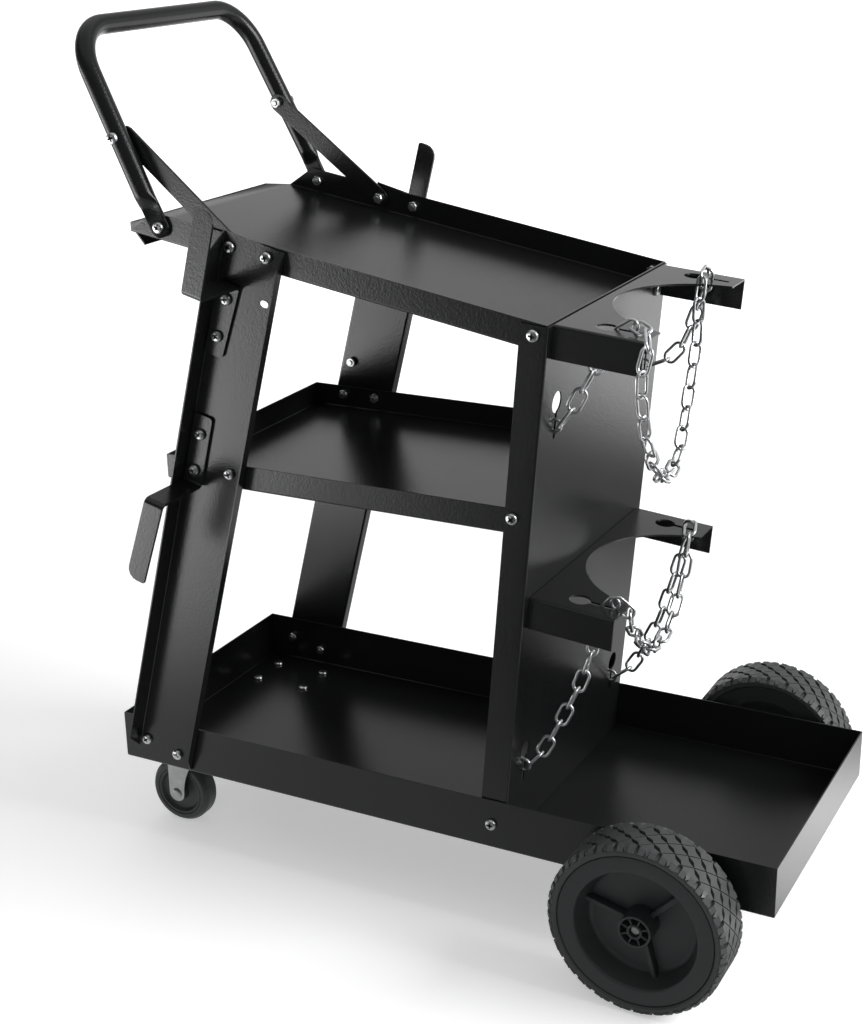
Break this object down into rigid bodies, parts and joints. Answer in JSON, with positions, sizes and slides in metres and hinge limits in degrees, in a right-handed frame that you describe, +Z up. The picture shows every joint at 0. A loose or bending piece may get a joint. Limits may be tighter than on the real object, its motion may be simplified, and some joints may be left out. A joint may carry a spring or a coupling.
{
  "type": "welding cart",
  "caption": "Welding cart of folded black sheet with a sloping top tray, lower trays, push handle, cable hooks, chained gas-cylinder brackets, swivel casters and rear wheels.",
  "frame": {"origin": "on the floor, midway along the cart and on its middle plane", "axes": "+X from the handle end to the wheel end, +Y to the cart's left, +Z up"},
  "size_m": [0.752, 0.449, 0.8903],
  "materials": {
    "coat": "black powder coat, semi-gloss with a fine orange-peel texture",
    "zinc": "bright zinc plate",
    "hub": "moulded black plastic, satin",
    "tyre": "black rubber with a moulded tread",
    "caster": "black rubber on a plastic core"
  },
  "bodies": {
    "cart": {"bottom_tray": "coat", "middle_tray": "coat", "top_tray": "coat", "rear_panel": "coat", "right_post": "coat", "left_post": "coat", "right_upper_hook": "coat", "left_upper_hook": "coat", "right_lower_hook": "coat", "left_lower_hook": "coat", "right_brace": "coat", "left_brace": "coat", "right_axle_strap": "coat", "left_axle_strap": "coat", "handle": "coat", "upper_bracket": "coat", "lower_bracket": "coat", "upper_chain": "zinc", "lower_chain": "zinc", "rear_axle": "zinc", "right_caster_plate": "zinc", "left_caster_plate": "zinc", "right_post_foot_front_bolt": "zinc", "left_post_foot_front_bolt": "zinc", "right_post_foot_rear_bolt": "zinc", "left_post_foot_rear_bolt": "zinc", "right_post_middle_bolt": "zinc", "left_post_middle_bolt": "zinc", "right_post_top_front_bolt": "zinc", "left_post_top_front_bolt": "zinc", "right_post_top_rear_bolt": "zinc", "left_post_top_rear_bolt": "zinc", "right_upper_hook_top_bolt": "zinc", "left_upper_hook_top_bolt": "zinc", "right_upper_hook_low_bolt": "zinc", "left_upper_hook_low_bolt": "zinc", "right_lower_hook_top_bolt": "zinc", "left_lower_hook_top_bolt": "zinc", "right_lower_hook_low_bolt": "zinc", "left_lower_hook_low_bolt": "zinc", "right_panel_foot_bolt": "zinc", "left_panel_foot_bolt": "zinc", "right_panel_middle_bolt": "zinc", "left_panel_middle_bolt": "zinc", "right_panel_top_bolt": "zinc", "left_panel_top_bolt": "zinc", "right_handle_leg_bolt": "zinc", "left_handle_leg_bolt": "zinc", "right_brace_bolt": "zinc", "left_brace_bolt": "zinc"},
    "right_caster": {"right_caster_fork": "zinc", "right_caster_axle": "zinc"},
    "left_caster": {"left_caster_fork": "zinc", "left_caster_axle": "zinc"},
    "right_caster_roller": {"right_caster_wheel": "caster"},
    "left_caster_roller": {"left_caster_wheel": "caster"},
    "right_rear_wheel": {"right_hub": "hub", "right_tyre": "tyre"},
    "left_rear_wheel": {"left_hub": "hub", "left_tyre": "tyre"}
  },
  "joints": [
    {"name": "right_caster_swivel", "type": "hinge", "parent": "cart", "child": "right_caster", "pos_m": [-0.31103, -0.1, 0.08], "axis": [0, 0, 1], "continuous": true},
    {"name": "right_caster_spin", "type": "hinge", "parent": "right_caster", "child": "right_caster_roller", "pos_m": [-0.33103, -0.1, 0.0375], "axis": [0, 1, 0], "continuous": true},
    {"name": "left_caster_swivel", "type": "hinge", "parent": "cart", "child": "left_caster", "pos_m": [-0.31103, 0.1, 0.08], "axis": [0, 0, 1], "continuous": true},
    {"name": "left_caster_spin", "type": "hinge", "parent": "left_caster", "child": "left_caster_roller", "pos_m": [-0.33103, 0.1, 0.0375], "axis": [0, 1, 0], "continuous": true},
    {"name": "right_rear_wheel_spin", "type": "hinge", "parent": "cart", "child": "right_rear_wheel", "pos_m": [0.26367, -0.197, 0.0889], "axis": [0, 1, 0], "continuous": true},
    {"name": "left_rear_wheel_spin", "type": "hinge", "parent": "cart", "child": "left_rear_wheel", "pos_m": [0.26367, 0.197, 0.0889], "axis": [0, 1, 0], "continuous": true}
  ]
}
